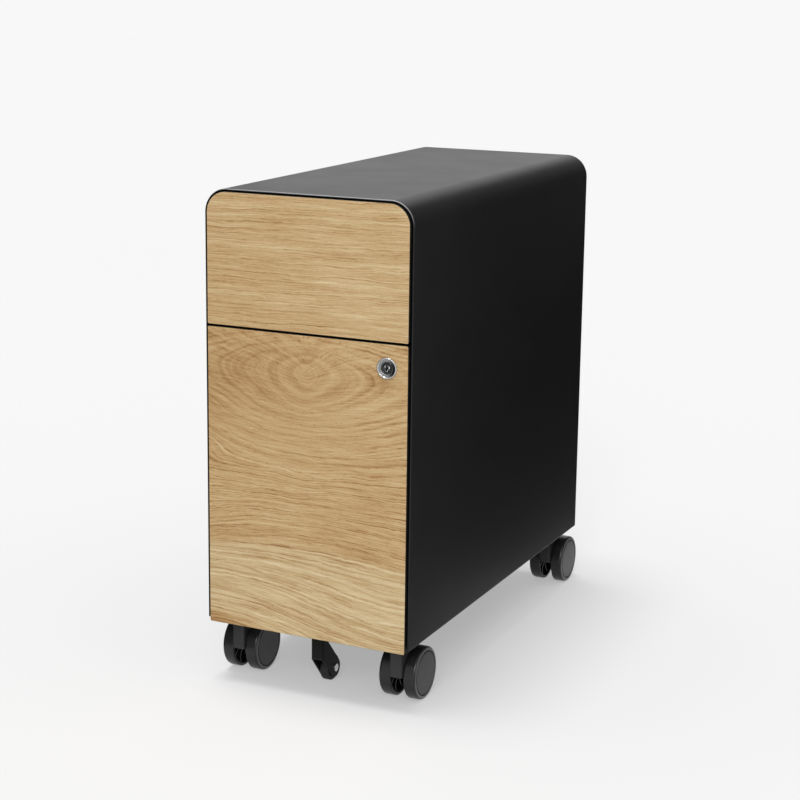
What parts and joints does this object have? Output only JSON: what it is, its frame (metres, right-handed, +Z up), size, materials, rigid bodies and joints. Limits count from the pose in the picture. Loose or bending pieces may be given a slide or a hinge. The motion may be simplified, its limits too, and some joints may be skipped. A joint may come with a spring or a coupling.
{
  "type": "mobile filing cabinet",
  "caption": "Slim pedestal on casters: folded steel shell, oak-fronted box drawer and file drawer on telescopic slides, cam lock and anti-tip wheel.",
  "frame": {"origin": "on the floor under the middle of the whole footprint, from the lock's face to the rear wheels", "axes": "+Z up, the drawer fronts face -Y, +X is to the right seen from the front"},
  "size_m": [0.2604, 0.5756, 0.5867],
  "materials": {
    "black_coat": "satin black powder coat on folded steel sheet",
    "oak_veneer": "light oak veneer with a clear matt lacquer, edge-banded to match",
    "zinc_steel": "bright zinc-plated steel",
    "lock_chrome": "polished chrome plate",
    "lock_core": "turned metal plug with a keyway, dulled by use",
    "caster_body_plastic": "moulded black nylon",
    "caster_wheel_plastic": "moulded dark grey nylon, polished a little by rolling",
    "latch_plastic": "moulded grey acetal",
    "soft_rubber": "black rubber"
  },
  "bodies": {
    "cabinet": {"shell": "black_coat", "back_panel": "black_coat", "base_pan": "black_coat", "divider_rail": "black_coat", "upright_front_left": "zinc_steel", "upright_front_right": "zinc_steel", "upright_rear_left": "zinc_steel", "upright_rear_right": "zinc_steel", "latch_screws": "black_coat", "caster_plates": "zinc_steel", "caster_screws": "zinc_steel", "box_slide_rail_left": "zinc_steel", "box_slide_rail_right": "zinc_steel", "file_slide_rail_left": "zinc_steel", "file_slide_rail_right": "zinc_steel", "box_latch_body": "latch_plastic", "file_latch_body": "latch_plastic"},
    "box_slide_middle": {"box_slide_middle_left": "zinc_steel", "box_slide_middle_right": "zinc_steel"},
    "box_drawer": {"box_drawer_box": "black_coat", "box_drawer_front": "oak_veneer", "box_front_screws": "zinc_steel", "box_slide_drawer_left": "zinc_steel", "box_slide_drawer_right": "zinc_steel"},
    "file_slide_middle": {"file_slide_middle_left": "zinc_steel", "file_slide_middle_right": "zinc_steel"},
    "file_drawer": {"file_drawer_box": "black_coat", "file_drawer_front": "oak_veneer", "file_front_screws": "zinc_steel", "file_slide_drawer_left": "zinc_steel", "file_slide_drawer_right": "zinc_steel", "hanger_bar_front": "zinc_steel", "hanger_bar_rear": "zinc_steel", "lock_housing": "lock_chrome", "lock_nut": "zinc_steel", "fifth_wheel_fork": "black_coat", "fork_screws": "zinc_steel", "fifth_wheel_axle": "zinc_steel"},
    "lock_core": {"lock_plug": "lock_core", "lock_cam": "zinc_steel"},
    "fifth_wheel": {"fifth_wheel": "soft_rubber"},
    "box_latch_plunger": {"box_latch_plunger": "soft_rubber"},
    "file_latch_plunger": {"file_latch_plunger": "soft_rubber"},
    "caster_front_left": {"caster_body_front_left": "caster_body_plastic", "caster_axle_front_left": "zinc_steel"},
    "caster_wheel_front_left_outer": {"caster_wheel_front_left_outer": "caster_wheel_plastic"},
    "caster_wheel_front_left_inner": {"caster_wheel_front_left_inner": "caster_wheel_plastic"},
    "caster_front_right": {"caster_body_front_right": "caster_body_plastic", "caster_axle_front_right": "zinc_steel"},
    "caster_wheel_front_right_outer": {"caster_wheel_front_right_outer": "caster_wheel_plastic"},
    "caster_wheel_front_right_inner": {"caster_wheel_front_right_inner": "caster_wheel_plastic"},
    "caster_rear_left": {"caster_body_rear_left": "caster_body_plastic", "caster_axle_rear_left": "zinc_steel"},
    "caster_wheel_rear_left_outer": {"caster_wheel_rear_left_outer": "caster_wheel_plastic"},
    "caster_wheel_rear_left_inner": {"caster_wheel_rear_left_inner": "caster_wheel_plastic"},
    "caster_rear_right": {"caster_body_rear_right": "caster_body_plastic", "caster_axle_rear_right": "zinc_steel"},
    "caster_wheel_rear_right_outer": {"caster_wheel_rear_right_outer": "caster_wheel_plastic"},
    "caster_wheel_rear_right_inner": {"caster_wheel_rear_right_inner": "caster_wheel_plastic"}
  },
  "joints": [
    {"name": "box_slide_middle_travel", "type": "slide", "parent": "cabinet", "child": "box_slide_middle", "axis": [0, -1, 0], "range_m": [0, 0.22]},
    {"name": "box_drawer_travel", "type": "slide", "parent": "cabinet", "child": "box_drawer", "axis": [0, -1, 0], "range_m": [0, 0.44]},
    {"name": "file_slide_middle_travel", "type": "slide", "parent": "cabinet", "child": "file_slide_middle", "axis": [0, -1, 0], "range_m": [0, 0.22]},
    {"name": "file_drawer_travel", "type": "slide", "parent": "cabinet", "child": "file_drawer", "axis": [0, -1, 0], "range_m": [0, 0.44]},
    {"name": "lock_turn", "type": "hinge", "parent": "file_drawer", "child": "lock_core", "pos_m": [0.10097, -0.28563, 0.40195], "axis": [0, 1, 0], "range_deg": [0, 90]},
    {"name": "fifth_wheel_spin", "type": "hinge", "parent": "file_drawer", "child": "fifth_wheel", "pos_m": [0, -0.22203, 0.016], "axis": [1, 0, 0], "continuous": true},
    {"name": "box_latch_press", "type": "slide", "parent": "cabinet", "child": "box_latch_plunger", "axis": [0, 1, 0], "range_m": [0, 0.0025], "stiffness_N_per_m": 200},
    {"name": "file_latch_press", "type": "slide", "parent": "cabinet", "child": "file_latch_plunger", "axis": [0, 1, 0], "range_m": [0, 0.0025], "stiffness_N_per_m": 200},
    {"name": "caster_front_left_swivel", "type": "hinge", "parent": "cabinet", "child": "caster_front_left", "pos_m": [-0.10378, -0.24713, 0.074], "axis": [0, 0, 1], "continuous": true},
    {"name": "caster_wheel_front_left_outer_spin", "type": "hinge", "parent": "caster_front_left", "child": "caster_wheel_front_left_outer", "pos_m": [-0.10378, -0.22542, 0.03125], "axis": [1, 0, 0], "continuous": true},
    {"name": "caster_wheel_front_left_inner_spin", "type": "hinge", "parent": "caster_front_left", "child": "caster_wheel_front_left_inner", "pos_m": [-0.10378, -0.22542, 0.03125], "axis": [1, 0, 0], "continuous": true},
    {"name": "caster_front_right_swivel", "type": "hinge", "parent": "cabinet", "child": "caster_front_right", "pos_m": [0.10378, -0.24713, 0.074], "axis": [0, 0, 1], "continuous": true},
    {"name": "caster_wheel_front_right_outer_spin", "type": "hinge", "parent": "caster_front_right", "child": "caster_wheel_front_right_outer", "pos_m": [0.10378, -0.22542, 0.03125], "axis": [1, 0, 0], "continuous": true},
    {"name": "caster_wheel_front_right_inner_spin", "type": "hinge", "parent": "caster_front_right", "child": "caster_wheel_front_right_inner", "pos_m": [0.10378, -0.22542, 0.03125], "axis": [1, 0, 0], "continuous": true},
    {"name": "caster_rear_left_swivel", "type": "hinge", "parent": "cabinet", "child": "caster_rear_left", "pos_m": [-0.10378, 0.23488, 0.074], "axis": [0, 0, 1], "continuous": true},
    {"name": "caster_wheel_rear_left_outer_spin", "type": "hinge", "parent": "caster_rear_left", "child": "caster_wheel_rear_left_outer", "pos_m": [-0.10378, 0.25657, 0.03125], "axis": [1, 0, 0], "continuous": true},
    {"name": "caster_wheel_rear_left_inner_spin", "type": "hinge", "parent": "caster_rear_left", "child": "caster_wheel_rear_left_inner", "pos_m": [-0.10378, 0.25657, 0.03125], "axis": [1, 0, 0], "continuous": true},
    {"name": "caster_rear_right_swivel", "type": "hinge", "parent": "cabinet", "child": "caster_rear_right", "pos_m": [0.10378, 0.23488, 0.074], "axis": [0, 0, 1], "continuous": true},
    {"name": "caster_wheel_rear_right_outer_spin", "type": "hinge", "parent": "caster_rear_right", "child": "caster_wheel_rear_right_outer", "pos_m": [0.10378, 0.25657, 0.03125], "axis": [1, 0, 0], "continuous": true},
    {"name": "caster_wheel_rear_right_inner_spin", "type": "hinge", "parent": "caster_rear_right", "child": "caster_wheel_rear_right_inner", "pos_m": [0.10378, 0.25657, 0.03125], "axis": [1, 0, 0], "continuous": true}
  ],
  "couplings": [
    {"joint": "box_slide_middle_travel", "follows": "box_drawer_travel", "ratio": 0.5},
    {"joint": "file_slide_middle_travel", "follows": "file_drawer_travel", "ratio": 0.5}
  ]
}
